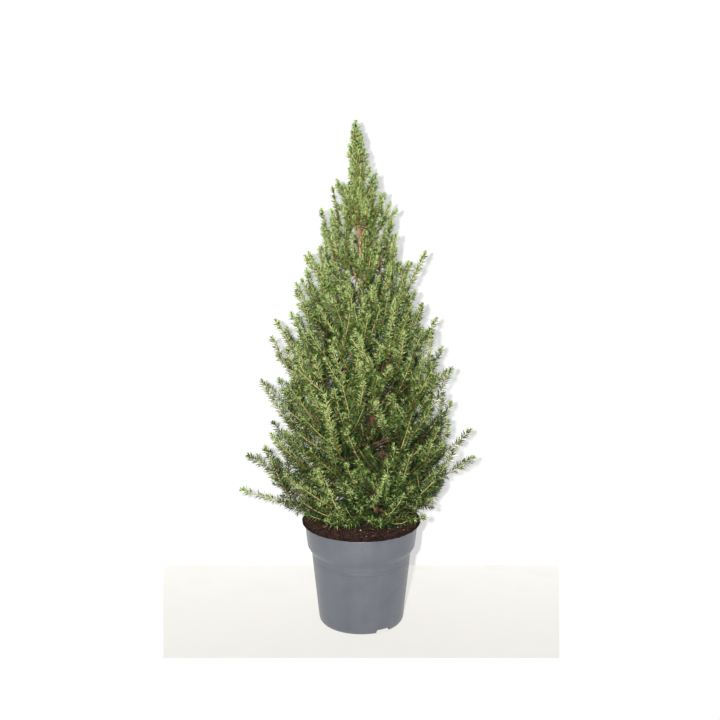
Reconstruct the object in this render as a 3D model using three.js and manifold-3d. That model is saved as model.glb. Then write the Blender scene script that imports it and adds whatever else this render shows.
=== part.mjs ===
// A dwarf spruce in a grey nursery pot: pot, soil, one leaning trunk, rising boughs, masses of needle sprays.
// Millimetres, +Z up. The origin is the middle of the pot's underside, and the front is towards -Y.
import * as THREE from "three";
import { mergeVertices } from "three/addons/utils/BufferGeometryUtils.js";
import Module from "manifold-3d";

const wasm = await Module();
wasm.setup();

// ---- Driving dimensions ----
const gap = 0.3; // clear space left between touching pieces

const pot = {
  height: 178,
  rimRadius: 96, // outer radius of the band at its top edge
  bandRadius: 92.2, // outer radius at the foot of the band
  bandHeight: 40,
  shoulderDrop: 11, // height of the slope between band and wall
  wallRadius: 85.5, // outer radius just below the shoulder
  footRadius: 73, // outer radius just above the chamfer
  chamfer: 5,
  wall: 1.8,
  padRadius: 36, // flat pad in the middle of the underside
  channelHeight: 8, // drain channel between the pad and the foot ring
  footRing: 9, // width of the foot ring
  notchWidth: 27,
  notchHeight: 7,
  notchAngles: [-58, 62, 182], // degrees from +X; the first is right of the front
  drainRadius: 4.5,
  drainCount: 6,
  drainSides: 8,
  sides: 30,
};

const soil = {
  overhang: 5.5, // how far the heaped edge stands out past the rim
  edgeThickness: 6,
  edgeRounding: [2, 3], // how far the edge is drawn in below and above its widest place
  mound: 8, // rise of the middle above the rim's top edge
  slopeAt: [0.72, 0.75], // a point on the slope: its radius and height, as shares of the edge's and the rise
  flatRadius: 40, // level middle, where the trunk stands
};

const trunk = {
  footX: 23, // the trunk stands right of the pot's axis
  bellyX: 5, // it swells further right above its foot
  tipX: -9,
  sway: 4, // how far it winds to the front and back
  tipHeight: 846,
  footRadius: 8.5,
  tipRadius: 1.1,
  flare: 4.5, // extra radius at the root flare
  flareHeight: 16,
  sides: 10,
  rings: 15,
  crowding: 1.6, // above 1 the rings stand closer near the foot
};

const crown = {
  widestHeight: 285,
  widestRadius: 178,
  coneTop: 830,
  fullness: 0.75, // below 1 the cone bulges outward
  skirtHeight: 190, // lowest foliage
  skirtRadius: 112,
  skirtFullness: 0.8,
  centreX: -4,
  lowSlope: 0.08, // rise over run where the lowest boughs leave the trunk
  highSlope: 1.6, // the same for the highest
  slopeShape: 0.6,
  slopeTop: 720,
  bend: 230, // a bough's slope doubles over half this distance
};

// One row for each tier: height on the trunk, masses in the tier, sprays across and up in a mass.
const tiers = [
  { height: 196, masses: 6, across: 3, up: 1 },
  { height: 212, masses: 6, across: 4, up: 2 },
  { height: 237, masses: 5, across: 4, up: 2 },
  { height: 279, masses: 5, across: 3, up: 2 },
  { height: 339, masses: 4, across: 3, up: 2 },
  { height: 411, masses: 3, across: 3, up: 2 },
  { height: 492, masses: 3, across: 3, up: 2 },
  { height: 580, masses: 3, across: 3, up: 2 },
  { height: 668, masses: 3, across: 3, up: 2 },
];
const tierTurn = 2.4; // radians between one tier and the next
const boughTiers = 3; // the tiers above these have no bough of their own

// Tips of the long shoots that stand out past the crown's outline.
const strayTips = [
  { x: -203, y: -22, z: 243 },
  { x: -194, y: 12, z: 293 },
  { x: 188, y: -20, z: 299 },
  { x: 186, y: 24, z: 334 },
  { x: -158, y: 20, z: 415 },
  { x: 143, y: 15, z: 441 },
  { x: -141, y: -15, z: 534 },
  { x: -108, y: 12, z: 590 },
  { x: 104, y: -12, z: 647 },
  { x: -86, y: -8, z: 645 },
  { x: 40, y: -182, z: 320 },
  { x: -50, y: 176, z: 330 },
];

const bough = { share: 0.3, rootRadius: 4.2, tipRadius: 3, sides: 5, rings: 3 };

const spray = {
  length: 122,
  shrink: 0.5, // how much shorter the highest sprays are
  coreShare: 0.035, // radius of the core, as a share of the length
  needleShare: 0.15, // reach of the needle points, as a share of the length
  needleLean: 0.9, // how far a needle point leans forward, as a share of the ring spacing
  rings: 5,
  fewestRings: 3, // on the highest sprays
  columns: 4,
  steeper: 0.8, // most upward turn added to the bough's own direction
  rowTurn: 1.85, // sideways spread of a row's sprays, in half widths of the mass
  rowRise: 0.9, // upward spread of the rows, as a share of the mass's thickness
  outerShare: [0.93, 1], // how far out an outer spray's tip lies, as a share of the reach
  innerShare: [0.45, 0.8], // the same for the inner sprays behind them
  margin: 1.2, // clear space kept to other masses and to the sides of a mass's own room
  testSteps: 8,
  closeness: 0.84, // how near two sprays come, as a share of their reaches
  attempts: 36,
  shorter: 0.5, // how much shorter a spray may get to find room
  strayLength: 1.2, // length of a stray, as a share of its mass's sprays
  strayReach: 0.08, // reach of its needle points, as a share of its length
};

// The most height that a mass spreads over, from its bough's height on the trunk.
const room = { above: 45, below: 22 };

const twig = {
  radius: 1.1,
  stemRadius: 4,
  stemTip: 3.4,
  stemShrink: 0.4, // how much slimmer the highest stems are
  shortestStem: 16,
  firstJoint: 14, // nearest to the trunk that a shoot leaves the stem
  sink: 0.3,
  testStep: 5,
};

const leader = {
  height: 118,
  pastTrunk: 12, // height of its last needles above the trunk's tip
  coreRadius: 4.6,
  needleReach: 10.5,
  needleRise: 7,
  columns: 6,
  rings: 7,
  sideSprays: 6,
  sideLength: 44,
  sideLean: 0.42,
  clear: 20, // room round the trunk that the masses leave free
};

const up = new THREE.Vector3(0, 0, 1);
const potTop = pot.height;
const soilTop = potTop + soil.mound;
const trunkFoot = soilTop + gap;
const leaderFoot = trunk.tipHeight + leader.pastTrunk - leader.height;

// ---- Small tools ----
function seeded(seed) {
  let state = seed >>> 0;
  return () => {
    state = (Math.imul(state, 1664525) + 1013904223) >>> 0;
    return state / 4294967296;
  };
}

const mix = (a, b, t) => a + (b - a) * t;

function solidFrom(geometry) {
  const bare = new THREE.BufferGeometry().setAttribute("position", geometry.getAttribute("position"));
  bare.setIndex(geometry.getIndex());
  const merged = mergeVertices(bare, 1e-4);
  const corners = merged.getIndex().array;
  const kept = [];
  for (let i = 0; i < corners.length; i += 3) {
    const [a, b, c] = corners.slice(i, i + 3);
    if (a !== b && b !== c && c !== a) kept.push(a, b, c);
  }
  const vertProperties = new Float32Array(merged.getAttribute("position").array);
  return new wasm.Manifold(new wasm.Mesh({ numProp: 3, vertProperties, triVerts: new Uint32Array(kept) }));
}

function geometryFrom(solid) {
  const { numProp, numVert, vertProperties, triVerts } = solid.getMesh();
  const positions = new Float32Array(numVert * 3);
  for (let i = 0; i < numVert; i++) {
    positions.set(vertProperties.subarray(i * numProp, i * numProp + 3), i * 3);
  }
  const geometry = new THREE.BufferGeometry();
  geometry.setAttribute("position", new THREE.BufferAttribute(positions, 3));
  geometry.setIndex(new THREE.BufferAttribute(new Uint32Array(triVerts), 1));
  geometry.computeVertexNormals();
  return geometry;
}

const largestBody = (solid) => solid.decompose().sort((a, b) => b.volume() - a.volume())[0];

// Turns a profile of [radius, height] points about the Z axis.
function turned(profile, sides) {
  const points = profile.map(([radius, height]) => new THREE.Vector2(radius, height));
  const solid = solidFrom(new THREE.LatheGeometry(points, sides).rotateX(Math.PI / 2));
  if (solid.volume() > 0) return solid;
  return solidFrom(new THREE.LatheGeometry(points.reverse(), sides).rotateX(Math.PI / 2));
}

// A closed skin over rings of points that run from a body's foot to its tip, anticlockwise seen from the tip.
// All rings hold equal numbers, and the last may be a single point. The faces' diagonals take turns.
function skinned(rings) {
  const starts = [];
  const positions = [];
  const faces = [];
  for (const ring of rings) {
    starts.push(positions.length / 3);
    for (const p of ring) positions.push(p.x, p.y, p.z);
  }
  for (let i = 1; i < rings[0].length - 1; i++) faces.push(0, i + 1, i);
  for (let r = 0; r < rings.length - 1; r++) {
    const [low, high] = [rings[r].length, rings[r + 1].length];
    const [a, b] = [starts[r], starts[r + 1]];
    for (let i = 0; i < low; i++) {
      const next = (i + 1) % low;
      if (high === 1) faces.push(a + i, a + next, b);
      else if ((i + r) % 2) faces.push(a + i, a + next, b + next, a + i, b + next, b + i);
      else faces.push(a + i, a + next, b + i, a + next, b + next, b + i);
    }
  }
  const top = starts[rings.length - 1];
  for (let i = 1; i < rings[rings.length - 1].length - 1; i++) faces.push(top, top + i, top + i + 1);
  const geometry = new THREE.BufferGeometry();
  geometry.setAttribute("position", new THREE.BufferAttribute(new Float32Array(positions), 3));
  geometry.setIndex(faces);
  return geometry;
}

function sideAxes(direction) {
  const helper = Math.abs(direction.z) < 0.9 ? up : new THREE.Vector3(1, 0, 0);
  const first = new THREE.Vector3().crossVectors(helper, direction).normalize();
  return [first, new THREE.Vector3().crossVectors(direction, first).normalize()];
}

function ringAround(centre, direction, count, radiusOf, turn = 0) {
  const [first, second] = sideAxes(direction);
  return Array.from({ length: count }, (_, i) => {
    const angle = turn + (2 * Math.PI * i) / count;
    const outward = first.clone().multiplyScalar(Math.cos(angle)).addScaledVector(second, Math.sin(angle));
    return centre.clone().addScaledVector(outward, radiusOf(i));
  });
}

// A round limb along a path of points, with a radius for each.
function limb(path, radii, sides) {
  const rings = path.map((p, i) => {
    const [before, after] = [path[Math.max(i - 1, 0)], path[Math.min(i + 1, path.length - 1)]];
    return ringAround(p, after.clone().sub(before).normalize(), sides, () => radii[i]);
  });
  return solidFrom(skinned(rings));
}

// ---- Pot and soil ----
function potWallProfile() {
  const bandFoot = potTop - pot.bandHeight;
  return [
    [pot.footRadius - pot.chamfer * 0.6, 0],
    [pot.footRadius, pot.chamfer],
    [pot.wallRadius, bandFoot - pot.shoulderDrop],
    [pot.bandRadius, bandFoot],
    [pot.rimRadius, potTop],
  ];
}

function potInnerProfile() {
  const floorTop = pot.channelHeight + pot.wall;
  const shell = potWallProfile().slice(1).map(([radius, height]) => [radius - pot.wall, height]);
  shell[0] = [pot.footRadius - pot.wall + 0.5, floorTop];
  return [[0, pot.wall], [pot.padRadius - pot.wall, pot.wall], [pot.padRadius, floorTop], ...shell];
}

function makePot() {
  const outside = potWallProfile();
  const ringInner = pot.footRadius - pot.footRing;
  const underside = [
    [0, 0],
    [pot.padRadius, 0],
    [pot.padRadius + pot.wall, pot.channelHeight],
    [ringInner, pot.channelHeight],
    [ringInner + 1, 0],
  ];
  let solid = turned([...underside, ...outside, ...potInnerProfile().reverse()], pot.sides);
  for (const degrees of pot.notchAngles) {
    const notch = new THREE.BoxGeometry(pot.footRing * 3, pot.notchWidth, pot.notchHeight * 2);
    notch.translate(pot.footRadius, 0, 0).rotateZ(THREE.MathUtils.degToRad(degrees));
    solid = solid.subtract(solidFrom(notch));
  }
  const channelMiddle = (pot.padRadius + ringInner) / 2;
  for (let i = 0; i < pot.drainCount; i++) {
    const drain = new THREE.CylinderGeometry(pot.drainRadius, pot.drainRadius, pot.wall * 3, pot.drainSides);
    drain.rotateX(Math.PI / 2).translate(channelMiddle, 0, pot.channelHeight + pot.wall / 2);
    drain.rotateZ((2 * Math.PI * i) / pot.drainCount);
    solid = solid.subtract(solidFrom(drain));
  }
  return solid;
}

// The soil fills the pot and is heaped over its rim.
function makeSoil() {
  const inside = potInnerProfile();
  const rimInner = inside[inside.length - 1][0];
  const fill = inside.slice(0, -1).map(([radius, height]) => [Math.max(0, radius - gap), height + gap]);
  const edge = pot.rimRadius + soil.overhang;
  const edgeTop = potTop + soil.edgeThickness;
  const [slopeRadius, slopeRise] = soil.slopeAt;
  const top = [
    [rimInner - gap, potTop + gap],
    [edge - soil.edgeRounding[0], potTop + gap],
    [edge, potTop + soil.edgeThickness * 0.45],
    [edge - soil.edgeRounding[1], edgeTop],
    [edge * slopeRadius, mix(edgeTop, soilTop, slopeRise)],
    [soil.flatRadius, soilTop],
    [0, soilTop],
  ];
  return turned([...fill, ...top], pot.sides);
}

// ---- Trunk ----
function trunkCentre(height) {
  const t = (height - trunkFoot) / (trunk.tipHeight - trunkFoot);
  const belly = trunk.bellyX * Math.max(0, Math.sin(Math.PI * Math.min(1, t * 3)));
  const x = mix(trunk.footX, trunk.tipX, Math.pow(t, 0.7)) + belly;
  return new THREE.Vector3(x, trunk.sway * Math.sin(6 * t), height);
}

function trunkRadius(height) {
  const t = (height - trunkFoot) / (trunk.tipHeight - trunkFoot);
  const flare = trunk.flare * Math.pow(Math.max(0, 1 - (height - trunkFoot) / trunk.flareHeight), 2);
  return mix(trunk.footRadius, trunk.tipRadius, Math.pow(t, 0.9)) + flare;
}

function makeTrunk(extra) {
  const rings = [];
  for (let i = 0; i <= trunk.rings; i++) {
    const height = mix(trunkFoot, trunk.tipHeight, Math.pow(i / trunk.rings, trunk.crowding));
    const isEnd = i === 0 || i === trunk.rings;
    const beyond = isEnd ? Math.sign(i - 1) * extra : 0;
    const centre = trunkCentre(height).setZ(height + beyond);
    rings.push(ringAround(centre, up, trunk.sides, () => trunkRadius(height) + extra));
  }
  return solidFrom(skinned(rings));
}

const trunkSpace = makeTrunk(gap); // the trunk and the clear space round it

// ---- The crown's outline and the lines that boughs follow ----
function crownRadius(height) {
  if (height >= crown.coneTop) return 0;
  if (height >= crown.widestHeight) {
    const left = 1 - (height - crown.widestHeight) / (crown.coneTop - crown.widestHeight);
    return crown.widestRadius * Math.pow(left, crown.fullness);
  }
  const t = Math.max(0, (height - crown.skirtHeight) / (crown.widestHeight - crown.skirtHeight));
  return mix(crown.skirtRadius, crown.widestRadius, Math.pow(t, crown.skirtFullness));
}

function climb(distance, rootHeight) {
  const t = Math.max(0, (rootHeight - tiers[0].height) / (crown.slopeTop - tiers[0].height));
  const slope = mix(crown.lowSlope, crown.highSlope, Math.pow(t, crown.slopeShape));
  return slope * distance * (1 + distance / crown.bend);
}

// The point that a bough from rootHeight reaches at a distance from the trunk.
function flowPoint(rootHeight, angle, distance) {
  const height = rootHeight + climb(distance, rootHeight);
  const { x, y } = trunkCentre(Math.min(height, trunk.tipHeight));
  return new THREE.Vector3(x + distance * Math.cos(angle), y + distance * Math.sin(angle), height);
}

const outsideBy = (p) => Math.hypot(p.x - crown.centreX, p.y) - crownRadius(p.z);

// The distance from the trunk at which a bough's line leaves the crown.
function reachOf(rootHeight, angle) {
  let [near, far] = [0, 2 * crown.widestRadius];
  for (let i = 0; i < 30; i++) {
    const middle = (near + far) / 2;
    if (outsideBy(flowPoint(rootHeight, angle, middle)) < 0) near = middle;
    else far = middle;
  }
  return near;
}

// A point's distance from the trunk and its angle about it.
function aroundTrunk(p) {
  const centre = trunkCentre(Math.min(Math.max(p.z, trunkFoot), trunk.tipHeight));
  const [x, y] = [p.x - centre.x, p.y - centre.y];
  return { distance: Math.hypot(x, y), angle: Math.atan2(y, x) };
}

// The height on the trunk from which a bough's line would pass through a point.
function rootHeightOf(p) {
  const { distance } = aroundTrunk(p);
  let [low, high] = [0, trunk.tipHeight];
  for (let i = 0; i < 24; i++) {
    const middle = (low + high) / 2;
    if (middle + climb(distance, middle) < p.z) low = middle;
    else high = middle;
  }
  return low;
}

// ---- Sprays and masses ----
const swellAt = (t) => Math.sin(Math.PI * mix(0.28, 0.93, t)); // a spray's width along its length

// A shoot is a bare twig from its joint to its root, then a slim core with rings of needle points.
function makeShoot({ joint, root, tip, core, reach, turn, rings: count }) {
  const axis = tip.clone().sub(root);
  const length = axis.length();
  const direction = axis.clone().normalize();
  const twigDirection = root.clone().sub(joint).normalize();
  const bend = direction.clone().add(twigDirection).normalize();
  const spacing = length / (count + 0.8);
  const foot = joint.clone().addScaledVector(twigDirection, -twig.sink);
  const rings = [foot, root].map((p) => ringAround(p, bend, spray.columns, () => twig.radius, turn));
  for (let r = 0; r < count; r++) {
    const centre = root.clone().addScaledVector(direction, spacing * (r + 0.5));
    const swell = swellAt((r + 0.5) / count);
    const radiusOf = (i) => ((i + r) % 2 ? core : reach) * swell;
    const ring = ringAround(centre, direction, spray.columns, radiusOf, turn);
    ring.forEach((p, i) => {
      if ((i + r) % 2 === 0) p.addScaledVector(direction, spacing * spray.needleLean);
    });
    rings.push(ring);
  }
  rings.push([tip.clone()]);
  return solidFrom(skinned(rings));
}

// Balls that stand for a shoot where its room is tested: small on the twig, large round the needles.
function ballsOf({ joint, root, tip, reach }) {
  const balls = [];
  const twigSteps = Math.ceil(joint.distanceTo(root) / twig.testStep);
  for (let i = 0; i <= twigSteps; i++) {
    const centre = joint.clone().lerp(root, i / twigSteps);
    if (centre.distanceTo(joint) > twig.testStep) balls.push({ centre, radius: twig.radius + 1 });
  }
  for (let i = 0; i <= spray.testSteps; i++) {
    const t = i / spray.testSteps;
    const centre = root.clone().lerp(tip, mix(0.08, 0.95, t));
    balls.push({ centre, radius: reach * swellAt(Math.max(0, t - 0.12)) });
  }
  return balls;
}

function areClear(balls, others, closeness, margin = 0) {
  const leastBetween = (a, b) => closeness * (a.radius + b.radius) + margin;
  return balls.every((a) => others.every((b) => a.centre.distanceTo(b.centre) > leastBetween(a, b)));
}

// A mass keeps to its own space: a slice of a turn, between the lines of boughs above and below.
function spaceOf(tier, index) {
  const { height, masses } = tiers[tier];
  const below = tier ? (tiers[tier - 1].height + height) / 2 : -Infinity;
  const above = tier < tiers.length - 1 ? (height + tiers[tier + 1].height) / 2 : leaderFoot;
  const middle = tier * tierTurn + (2 * Math.PI * index) / masses;
  const thickness = Math.min(above, height + room.above) - Math.max(below, height - room.below);
  const share = tier / (tiers.length - 1);
  const length = spray.length * (1 - spray.shrink * share);
  const rings = Math.round(mix(spray.rings, spray.fewestRings, share));
  const slimming = 1 - twig.stemShrink * share;
  return { tier, height, below, above, middle, thickness, length, rings, slimming, half: Math.PI / masses };
}

function isInside(space, { centre, radius }) {
  const { distance, angle } = aroundTrunk(centre);
  const turn = angle - space.middle;
  const offMiddle = Math.abs(turn - 2 * Math.PI * Math.round(turn / (2 * Math.PI)));
  const toSide = distance * Math.sin(Math.min(Math.PI / 2, space.half - offMiddle));
  if (toSide < radius + spray.margin || centre.z - radius < crown.skirtHeight) return false;
  if (centre.z > leaderFoot - 2 && distance - radius < leader.clear) return false;
  const below = rootHeightOf(centre.clone().setZ(centre.z - radius - spray.margin));
  const above = rootHeightOf(centre.clone().setZ(centre.z + radius + spray.margin));
  return below > space.below && above < space.above;
}

// A shoot whose tip lies on a bough's line. The more it spreads, the nearer the trunk is its joint.
function shootTo(space, stem, target, random) {
  const { rootHeight, angle, distance, spread, size, rings, needleShare } = target;
  const tip = flowPoint(rootHeight, angle, distance);
  const behind = flowPoint(rootHeight, angle, distance * 0.8);
  const direction = tip.clone().sub(behind).normalize();
  direction.addScaledVector(up, spray.steeper * random()).normalize();
  const length = space.length * size;
  const along = mix(stem.end - 1, Math.max(stem.start + 4, twig.firstJoint), Math.min(1, spread));
  return {
    joint: flowPoint(space.height, space.middle, along),
    root: tip.clone().addScaledVector(direction, -length),
    tip,
    core: spray.coreShare * length,
    reach: needleShare * length,
    turn: 2 * Math.PI * random(),
    rings,
  };
}

// Where a shoot of a mass would stand: its tip near the crown's outline.
// Rows past the last outer one are inner shoots, which end deeper in the crown.
function planShoot(space, stem, column, row, random, size) {
  const { across, up: rows } = tiers[space.tier];
  const isInner = row >= rows;
  const sideways = ((column + 0.5 + 0.5 * (random() - 0.5)) / across - 0.5) * spray.rowTurn * size;
  const rowHeight = ((row + 0.5) / rows - 0.5) * spray.rowRise;
  const upward = isInner ? random() - 0.5 : rowHeight + 0.35 * (random() - 0.5);
  const angle = space.middle + sideways * space.half;
  const rootHeight = space.height + upward * space.thickness;
  const share = mix(...(isInner ? spray.innerShare : spray.outerShare), random());
  const distance = reachOf(rootHeight, angle) * share;
  const spread = Math.abs(sideways) + 0.2 * row;
  const rings = space.rings - (isInner ? 1 : 0);
  const target = { rootHeight, angle, distance, spread, size, rings, needleShare: spray.needleShare };
  return shootTo(space, stem, target, random);
}

// A stray shoot: its tip is given, past the crown's outline.
function planStray(space, stem, tip, random, size) {
  const target = {
    ...aroundTrunk(tip),
    rootHeight: rootHeightOf(tip),
    spread: 0.4 * random(),
    size: size * spray.strayLength,
    rings: space.rings,
    needleShare: spray.strayReach,
  };
  return shootTo(space, stem, target, random);
}

// A mass's stem starts at its bough's tip, or at the trunk where the tier has no boughs.
function stemOf(tier, index) {
  const { height, middle, length } = spaceOf(tier, index);
  const reach = reachOf(height, middle);
  const start = tier < boughTiers ? reach * bough.share + gap : 0;
  return { start, end: Math.max(start + twig.shortestStem, reach - length * 0.9) };
}

// Balls along the limb of a mass, from one distance to another.
function limbBalls(tier, index, from, to, radius) {
  const { middle } = spaceOf(tier, index);
  const steps = Math.ceil((to - from) / twig.testStep);
  const places = Array.from({ length: steps }, (_, i) => mix(from, to, (i + 0.5) / steps));
  return places.map((distance) => ({ centre: flowPoint(tiers[tier].height, middle, distance), radius }));
}

function makeMass(tier, index, otherBalls) {
  const random = seeded(1000 + 100 * tier + index);
  const space = spaceOf(tier, index);
  const { across, up: rows } = tiers[tier];
  const stem = stemOf(tier, index);
  const stemSteps = [0, 0.5, 1];
  const stemPath = stemSteps.map((t) => flowPoint(space.height, space.middle, mix(stem.start, stem.end, t)));
  const stemRadii = stemSteps.map((t) => mix(twig.stemRadius, twig.stemTip, t) * space.slimming);
  let solid = limb(stemPath, stemRadii, 3);
  const taken = [
    ...limbBalls(tier, index, 0, stem.start, bough.rootRadius * 1.6),
    ...limbBalls(tier, index, stem.start, stem.end, twig.stemTip * space.slimming),
  ];
  // Tries a shoot's plan at smaller and smaller sizes until it finds room.
  const addShoot = (planAt) => {
    for (let attempt = 0; attempt < spray.attempts; attempt++) {
      const plan = planAt(1 - (spray.shorter * attempt) / spray.attempts);
      const balls = ballsOf(plan);
      if (!balls.every((ball) => isInside(space, ball))) continue;
      if (!areClear(balls, taken, spray.closeness) || !areClear(balls, otherBalls, 1, spray.margin)) continue;
      taken.push(...balls);
      solid = solid.add(makeShoot(plan));
      return;
    }
  };
  const strays = strayTips.map(({ x, y, z }) => new THREE.Vector3(x, y, z));
  for (const tip of strays.filter((p) => isInside(space, { centre: p, radius: 0 }))) {
    addShoot((size) => planStray(space, stem, tip, random, size));
  }
  for (let row = 0; row <= rows; row++) {
    for (let column = 0; column < across; column++) {
      addShoot((size) => planShoot(space, stem, column, row, random, size));
    }
  }
  return { solid: largestBody(solid.subtract(trunkSpace)), balls: taken };
}

function makeBough(tier, index) {
  const { height, middle } = spaceOf(tier, index);
  const length = reachOf(height, middle) * bough.share;
  const path = [];
  const radii = [];
  for (let i = 0; i < bough.rings; i++) {
    const t = i / (bough.rings - 1);
    path.push(flowPoint(height, middle, length * t));
    radii.push(mix(bough.rootRadius, bough.tipRadius, t));
  }
  return largestBody(limb(path, radii, bough.sides).subtract(trunkSpace));
}

// The leader's needles stand round the trunk's tip.
function makeLeader() {
  const random = seeded(7);
  const topHeight = leaderFoot + leader.height;
  const axisAt = (height) => trunkCentre(Math.min(height, trunk.tipHeight)).setZ(height);
  const rings = [ringAround(axisAt(leaderFoot), up, leader.columns, () => 3)];
  for (let r = 0; r < leader.rings; r++) {
    const t = (r + 0.5) / leader.rings;
    const isPoint = (i) => (i + r) % 2 === 1;
    const radiusOf = (i) => (isPoint(i) ? leader.needleReach : leader.coreRadius) * mix(1, 0.7, t);
    const ring = ringAround(axisAt(mix(leaderFoot, topHeight, t)), up, leader.columns, radiusOf);
    ring.filter((_, i) => isPoint(i)).forEach((p) => p.setZ(p.z + leader.needleRise));
    rings.push(ring);
  }
  rings.push([axisAt(topHeight)]);
  let solid = solidFrom(skinned(rings));
  for (let i = 0; i < leader.sideSprays; i++) {
    const t = i / leader.sideSprays;
    const angle = i * tierTurn + 0.4 * random();
    const outward = new THREE.Vector3(Math.cos(angle), Math.sin(angle), 0);
    const direction = outward.clone().multiplyScalar(leader.sideLean).add(up).normalize();
    const root = axisAt(mix(leaderFoot + 6, topHeight - 40, t));
    root.addScaledVector(outward, leader.coreRadius * 0.5);
    const tip = root.clone().addScaledVector(direction, leader.sideLength * mix(1, 0.55, t));
    const joint = root.clone().addScaledVector(direction, -3);
    const [core, reach] = [leader.coreRadius * 0.5, leader.needleReach * 0.8];
    solid = solid.add(makeShoot({ joint, root, tip, core, reach, turn: angle, rings: spray.fewestRings }));
  }
  return largestBody(solid.subtract(trunkSpace));
}

// ---- The whole plant ----
const finishes = {
  pot: new THREE.MeshStandardMaterial({ color: 0x6f747b, roughness: 0.55, metalness: 0 }),
  soil: new THREE.MeshStandardMaterial({ color: 0x3a2118, roughness: 1, metalness: 0 }),
  bark: new THREE.MeshStandardMaterial({ color: 0x8a6b4c, roughness: 0.9, metalness: 0 }),
  needles: new THREE.MeshStandardMaterial({ color: 0x4c7a3c, roughness: 0.7, metalness: 0 }),
};

const plant = new THREE.Group();
function place(name, solid, material) {
  const mesh = new THREE.Mesh(geometryFrom(solid), material);
  mesh.name = name;
  plant.add(mesh);
}

place("pot", makePot(), finishes.pot);
place("soil", makeSoil(), finishes.soil);
place("trunk", makeTrunk(0), finishes.bark);
const roomOf = (tier, index) => limbBalls(tier, index, 8, stemOf(tier, index).end, bough.rootRadius);
const indexesOf = (tier) => [...Array(tiers[tier].masses).keys()];
const rooms = tiers.map((_, tier) => indexesOf(tier).map((index) => roomOf(tier, index)));
tiers.forEach((_, tier) => {
  for (const index of indexesOf(tier)) {
    const label = `tier${tier + 1}_${index + 1}`;
    if (tier < boughTiers) place(`bough_${label}`, makeBough(tier, index), finishes.bark);
    const otherBalls = rooms.flat().filter((balls) => balls !== rooms[tier][index]).flat();
    const mass = makeMass(tier, index, otherBalls);
    rooms[tier][index] = mass.balls;
    place(`foliage_${label}`, mass.solid, finishes.needles);
  }
});
place("foliage_leader", makeLeader(), finishes.needles);

export default plant;
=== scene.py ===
import math

import bpy
import numpy as np
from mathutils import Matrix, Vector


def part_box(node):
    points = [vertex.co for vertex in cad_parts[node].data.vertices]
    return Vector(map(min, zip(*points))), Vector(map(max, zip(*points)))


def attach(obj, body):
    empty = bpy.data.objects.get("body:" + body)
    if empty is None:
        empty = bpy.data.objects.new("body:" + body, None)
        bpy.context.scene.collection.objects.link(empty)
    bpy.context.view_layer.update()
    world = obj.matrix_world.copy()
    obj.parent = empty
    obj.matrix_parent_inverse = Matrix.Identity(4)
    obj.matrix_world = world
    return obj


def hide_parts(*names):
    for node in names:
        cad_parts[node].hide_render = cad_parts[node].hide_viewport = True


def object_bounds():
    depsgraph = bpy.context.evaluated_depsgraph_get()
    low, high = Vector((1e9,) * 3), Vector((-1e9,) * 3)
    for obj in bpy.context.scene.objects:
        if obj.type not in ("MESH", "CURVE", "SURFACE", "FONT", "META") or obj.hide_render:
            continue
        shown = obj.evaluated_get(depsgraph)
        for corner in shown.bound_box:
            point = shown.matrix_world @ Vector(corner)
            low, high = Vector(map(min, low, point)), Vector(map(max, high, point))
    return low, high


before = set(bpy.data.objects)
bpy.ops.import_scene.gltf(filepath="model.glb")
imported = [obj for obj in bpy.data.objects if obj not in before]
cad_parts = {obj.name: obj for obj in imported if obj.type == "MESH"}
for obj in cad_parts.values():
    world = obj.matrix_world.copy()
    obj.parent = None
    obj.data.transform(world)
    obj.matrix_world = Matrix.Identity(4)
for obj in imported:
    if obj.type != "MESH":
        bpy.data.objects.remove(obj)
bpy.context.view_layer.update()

nodeNames = sorted(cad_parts)
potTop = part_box("pot")[1].z
moundRise = 0.008
soilTop = potTop + moundRise
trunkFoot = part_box("trunk")[0].z
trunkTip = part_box("trunk")[1].z
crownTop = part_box("foliage_leader")[1].z
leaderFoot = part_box("foliage_leader")[0].z
up = np.array([0.0, 0.0, 1.0])
print("frame loaded with", len(nodeNames), "nodes")

studio = {
    "cameraPlace": (-0.0022, -2.1728, 0.9945), "cameraPitch": 13.74, "lens": 67.04, "sensor": 36,
    "flashPlace": (-0.105, -2.17, 1.03), "flashSize": 0.04, "flashPower": 152,
    "ceilingPlace": (-0.5, -0.8, 2.2), "ceilingSize": 1.6, "ceilingPower": 5,
    "skyStrength": 0.12, "gamma": 0.87, "wallPlace": 0.236, "wallSize": 3.0, "wallFoot": -0.05,
    "wallGlow": 0.62, "floorBackHalf": 0.380, "floorFront": -0.158, "floorFrontHalf": 0.324,
    "floorBackGlow": (0.765, 0.76, 0.735, 1), "floorFrontGlow": (0.62, 0.612, 0.59, 1),
    "floorPaint": (0.15, 0.15, 0.146, 1), "stainGlow": (0.70, 0.66, 0.59, 1), "stainShare": 0.5,
    "wallPaint": (0.17, 0.17, 0.17, 1), "paperPaint": (0, 0, 0, 1), "paperGlow": 1.02,
    "paperSize": 6.0, "paperPlace": -0.002,
}


def setMode(mode):
    if bpy.context.object and bpy.context.object.mode != mode:
        bpy.ops.object.mode_set(mode=mode)


def dropSelection():
    setMode("OBJECT")
    bpy.ops.object.select_all(action="DESELECT")


def pick(piece):
    dropSelection()
    piece.select_set(True)
    bpy.context.view_layer.objects.active = piece


def applyPlace(piece):
    pick(piece)
    bpy.ops.object.transform_apply(location=True, rotation=True, scale=True)


def applyAll(piece):
    pick(piece)
    for modifier in list(piece.modifiers):
        bpy.ops.object.modifier_apply(modifier=modifier.name)


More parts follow.
